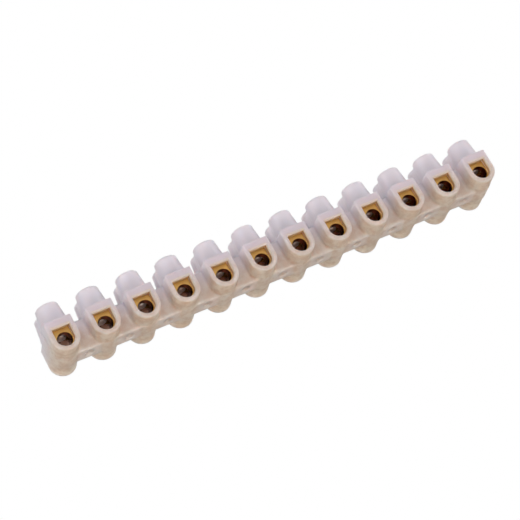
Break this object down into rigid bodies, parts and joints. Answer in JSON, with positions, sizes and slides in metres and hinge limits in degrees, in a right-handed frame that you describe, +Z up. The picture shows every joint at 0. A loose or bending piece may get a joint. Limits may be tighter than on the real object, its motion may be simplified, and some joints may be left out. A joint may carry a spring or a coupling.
{
  "type": "barrier terminal strip",
  "caption": "Row of insulated screw terminals: a translucent moulded housing with brass inserts, and slotted clamp screws in round towers above each wire bore.",
  "frame": {"origin": "middle of the strip's length and depth, level with the lowest line of its underside", "axes": "+X along the strip, +Y along the wires from the front wire face to the rear one, +Z up the screw towers"},
  "size_m": [0.0936, 0.012, 0.0109],
  "materials": {
    "housing_plastic": "milky translucent polyethylene, satin as moulded",
    "insert_brass": "plain brass, lightly dulled",
    "screw_steel": "bright zinc plated steel"
  },
  "bodies": {
    "housing": {"housing": "housing_plastic", "insert_1": "insert_brass", "insert_2": "insert_brass", "insert_3": "insert_brass", "insert_4": "insert_brass", "insert_5": "insert_brass", "insert_6": "insert_brass", "insert_7": "insert_brass", "insert_8": "insert_brass", "insert_9": "insert_brass", "insert_10": "insert_brass", "insert_11": "insert_brass", "insert_12": "insert_brass"},
    "front_screw_1": {"front_screw_1": "screw_steel"},
    "front_screw_2": {"front_screw_2": "screw_steel"},
    "front_screw_3": {"front_screw_3": "screw_steel"},
    "front_screw_4": {"front_screw_4": "screw_steel"},
    "front_screw_5": {"front_screw_5": "screw_steel"},
    "front_screw_6": {"front_screw_6": "screw_steel"},
    "front_screw_7": {"front_screw_7": "screw_steel"},
    "front_screw_8": {"front_screw_8": "screw_steel"},
    "front_screw_9": {"front_screw_9": "screw_steel"},
    "front_screw_10": {"front_screw_10": "screw_steel"},
    "front_screw_11": {"front_screw_11": "screw_steel"},
    "front_screw_12": {"front_screw_12": "screw_steel"},
    "rear_screw_1": {"rear_screw_1": "screw_steel"},
    "rear_screw_2": {"rear_screw_2": "screw_steel"},
    "rear_screw_3": {"rear_screw_3": "screw_steel"},
    "rear_screw_4": {"rear_screw_4": "screw_steel"},
    "rear_screw_5": {"rear_screw_5": "screw_steel"},
    "rear_screw_6": {"rear_screw_6": "screw_steel"},
    "rear_screw_7": {"rear_screw_7": "screw_steel"},
    "rear_screw_8": {"rear_screw_8": "screw_steel"},
    "rear_screw_9": {"rear_screw_9": "screw_steel"},
    "rear_screw_10": {"rear_screw_10": "screw_steel"},
    "rear_screw_11": {"rear_screw_11": "screw_steel"},
    "rear_screw_12": {"rear_screw_12": "screw_steel"}
  },
  "joints": [
    {"name": "front_screw_1_travel", "type": "slide", "parent": "housing", "child": "front_screw_1", "axis": [0, 0, -1], "range_m": [-0.0006, 0.0022]},
    {"name": "front_screw_2_travel", "type": "slide", "parent": "housing", "child": "front_screw_2", "axis": [0, 0, -1], "range_m": [-0.0006, 0.0022]},
    {"name": "front_screw_3_travel", "type": "slide", "parent": "housing", "child": "front_screw_3", "axis": [0, 0, -1], "range_m": [-0.0006, 0.0022]},
    {"name": "front_screw_4_travel", "type": "slide", "parent": "housing", "child": "front_screw_4", "axis": [0, 0, -1], "range_m": [-0.0006, 0.0022]},
    {"name": "front_screw_5_travel", "type": "slide", "parent": "housing", "child": "front_screw_5", "axis": [0, 0, -1], "range_m": [-0.0006, 0.0022]},
    {"name": "front_screw_6_travel", "type": "slide", "parent": "housing", "child": "front_screw_6", "axis": [0, 0, -1], "range_m": [-0.0006, 0.0022]},
    {"name": "front_screw_7_travel", "type": "slide", "parent": "housing", "child": "front_screw_7", "axis": [0, 0, -1], "range_m": [-0.0006, 0.0022]},
    {"name": "front_screw_8_travel", "type": "slide", "parent": "housing", "child": "front_screw_8", "axis": [0, 0, -1], "range_m": [-0.0006, 0.0022]},
    {"name": "front_screw_9_travel", "type": "slide", "parent": "housing", "child": "front_screw_9", "axis": [0, 0, -1], "range_m": [-0.0006, 0.0022]},
    {"name": "front_screw_10_travel", "type": "slide", "parent": "housing", "child": "front_screw_10", "axis": [0, 0, -1], "range_m": [-0.0006, 0.0022]},
    {"name": "front_screw_11_travel", "type": "slide", "parent": "housing", "child": "front_screw_11", "axis": [0, 0, -1], "range_m": [-0.0006, 0.0022]},
    {"name": "front_screw_12_travel", "type": "slide", "parent": "housing", "child": "front_screw_12", "axis": [0, 0, -1], "range_m": [-0.0006, 0.0022]},
    {"name": "rear_screw_1_travel", "type": "slide", "parent": "housing", "child": "rear_screw_1", "axis": [0, 0, -1], "range_m": [-0.0006, 0.0022]},
    {"name": "rear_screw_2_travel", "type": "slide", "parent": "housing", "child": "rear_screw_2", "axis": [0, 0, -1], "range_m": [-0.0006, 0.0022]},
    {"name": "rear_screw_3_travel", "type": "slide", "parent": "housing", "child": "rear_screw_3", "axis": [0, 0, -1], "range_m": [-0.0006, 0.0022]},
    {"name": "rear_screw_4_travel", "type": "slide", "parent": "housing", "child": "rear_screw_4", "axis": [0, 0, -1], "range_m": [-0.0006, 0.0022]},
    {"name": "rear_screw_5_travel", "type": "slide", "parent": "housing", "child": "rear_screw_5", "axis": [0, 0, -1], "range_m": [-0.0006, 0.0022]},
    {"name": "rear_screw_6_travel", "type": "slide", "parent": "housing", "child": "rear_screw_6", "axis": [0, 0, -1], "range_m": [-0.0006, 0.0022]},
    {"name": "rear_screw_7_travel", "type": "slide", "parent": "housing", "child": "rear_screw_7", "axis": [0, 0, -1], "range_m": [-0.0006, 0.0022]},
    {"name": "rear_screw_8_travel", "type": "slide", "parent": "housing", "child": "rear_screw_8", "axis": [0, 0, -1], "range_m": [-0.0006, 0.0022]},
    {"name": "rear_screw_9_travel", "type": "slide", "parent": "housing", "child": "rear_screw_9", "axis": [0, 0, -1], "range_m": [-0.0006, 0.0022]},
    {"name": "rear_screw_10_travel", "type": "slide", "parent": "housing", "child": "rear_screw_10", "axis": [0, 0, -1], "range_m": [-0.0006, 0.0022]},
    {"name": "rear_screw_11_travel", "type": "slide", "parent": "housing", "child": "rear_screw_11", "axis": [0, 0, -1], "range_m": [-0.0006, 0.0022]},
    {"name": "rear_screw_12_travel", "type": "slide", "parent": "housing", "child": "rear_screw_12", "axis": [0, 0, -1], "range_m": [-0.0006, 0.0022]}
  ]
}
